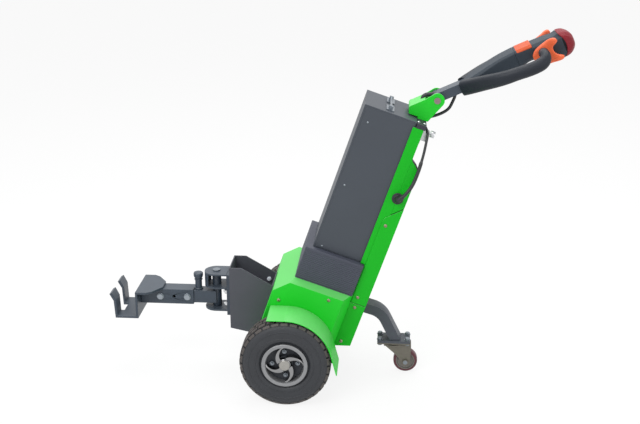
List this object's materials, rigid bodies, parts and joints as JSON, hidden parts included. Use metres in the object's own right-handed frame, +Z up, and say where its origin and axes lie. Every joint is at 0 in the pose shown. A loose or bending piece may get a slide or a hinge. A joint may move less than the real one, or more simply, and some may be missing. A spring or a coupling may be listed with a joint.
{
  "type": "walk-behind tow tractor",
  "caption": "Walk-behind battery tow tractor: leaning column, spoked drive wheels, swinging drawbar with hook, tilting tiller and rear caster.",
  "frame": {"origin": "middle of the whole machine's bounding box, on the floor", "axes": "+X from the tow hook towards the tiller's end, +Z up, +Y across to the side away from the control cable"},
  "size_m": [1.3668, 0.536, 1.0803],
  "materials": {
    "green_paint": "satin powder coat, bright green",
    "dark_paint": "fine-textured powder coat, dark grey",
    "box_paint": "satin powder coat, dark blue grey",
    "tray_plastic": "ribbed moulded plastic, dark grey",
    "drawbar_paint": "hammer-grey enamel",
    "head_plastic": "textured moulded plastic, dark grey",
    "grip_rubber": "soft grip, dark blue grey",
    "orange_plastic": "satin orange",
    "red_plastic": "satin red",
    "tyre_rubber": "matte black, block tread",
    "alloy": "polished cast alloy",
    "raw_steel": "bright zinc plate",
    "cast_housing": "painted casting, dark grey",
    "chrome_plate": "polished",
    "fork_steel": "passivated pressed steel",
    "caster_tread": "dark red polyurethane",
    "black_rubber": "matte black",
    "pack_case": "black battery case"
  },
  "bodies": {
    "chassis": {"axle_housing": "cast_housing", "drive_motor": "cast_housing", "main_frame": "dark_paint", "body_cover": "green_paint", "fenders": "green_paint", "column": "green_paint", "upper_rear_cover": "green_paint", "lower_rear_cover": "green_paint", "foot_cover": "green_paint", "column_cap": "dark_paint", "strap_bracket": "raw_steel", "strap_knob": "raw_steel", "battery_tray": "tray_plastic", "battery_box": "box_paint", "battery_pack": "pack_case", "lift_handle": "chrome_plate", "tiller_bracket": "green_paint", "tiller_pin": "raw_steel", "coupling_bin": "box_paint", "clevis": "drawbar_paint", "kingpin": "raw_steel", "caster_arm": "dark_paint", "caster_plate": "fork_steel", "cable_gland": "black_rubber", "column_cable": "black_rubber", "tiller_cable": "black_rubber"},
    "wheel_left": {"tyre_left": "tyre_rubber", "rim_left": "alloy", "half_shaft_left": "raw_steel"},
    "wheel_right": {"tyre_right": "tyre_rubber", "rim_right": "alloy", "half_shaft_right": "raw_steel"},
    "tiller": {"tiller_arm": "drawbar_paint", "tiller_shroud": "head_plastic", "tiller_head": "head_plastic", "nose_button": "red_plastic", "top_button": "orange_plastic", "hand_grips": "grip_rubber", "butterflies": "orange_plastic"},
    "drawbar": {"drawbar_outer": "drawbar_paint", "drawbar_inner": "drawbar_paint", "drawbar_bolts": "raw_steel", "lock_plunger": "drawbar_paint", "hook_fork": "drawbar_paint"},
    "caster_swivel": {"caster_fork": "fork_steel"},
    "caster_wheel": {"caster_tread": "caster_tread", "caster_hub": "alloy"}
  },
  "joints": [
    {"name": "wheel_left_spin", "type": "hinge", "parent": "chassis", "child": "wheel_left", "pos_m": [-0.12142, 0.221, 0.135], "axis": [0, 1, 0], "continuous": true},
    {"name": "wheel_right_spin", "type": "hinge", "parent": "chassis", "child": "wheel_right", "pos_m": [-0.12142, -0.221, 0.135], "axis": [0, 1, 0], "continuous": true},
    {"name": "tiller_tilt", "type": "hinge", "parent": "chassis", "child": "tiller", "pos_m": [0.3033, 0, 0.87965], "axis": [0, -1, 0], "range_deg": [-35, 62], "deforming": ["tiller_cable"]},
    {"name": "drawbar_swing", "type": "hinge", "parent": "chassis", "child": "drawbar", "pos_m": [-0.35942, 0, 0.239], "axis": [0, 0, 1], "range_deg": [-60, 60]},
    {"name": "caster_swivel_turn", "type": "hinge", "parent": "chassis", "child": "caster_swivel", "pos_m": [0.19558, 0, 0.0945], "axis": [0, 0, 1], "continuous": true},
    {"name": "caster_wheel_spin", "type": "hinge", "parent": "caster_swivel", "child": "caster_wheel", "pos_m": [0.23338, 0, 0.0375], "axis": [0, 1, 0], "continuous": true}
  ]
}
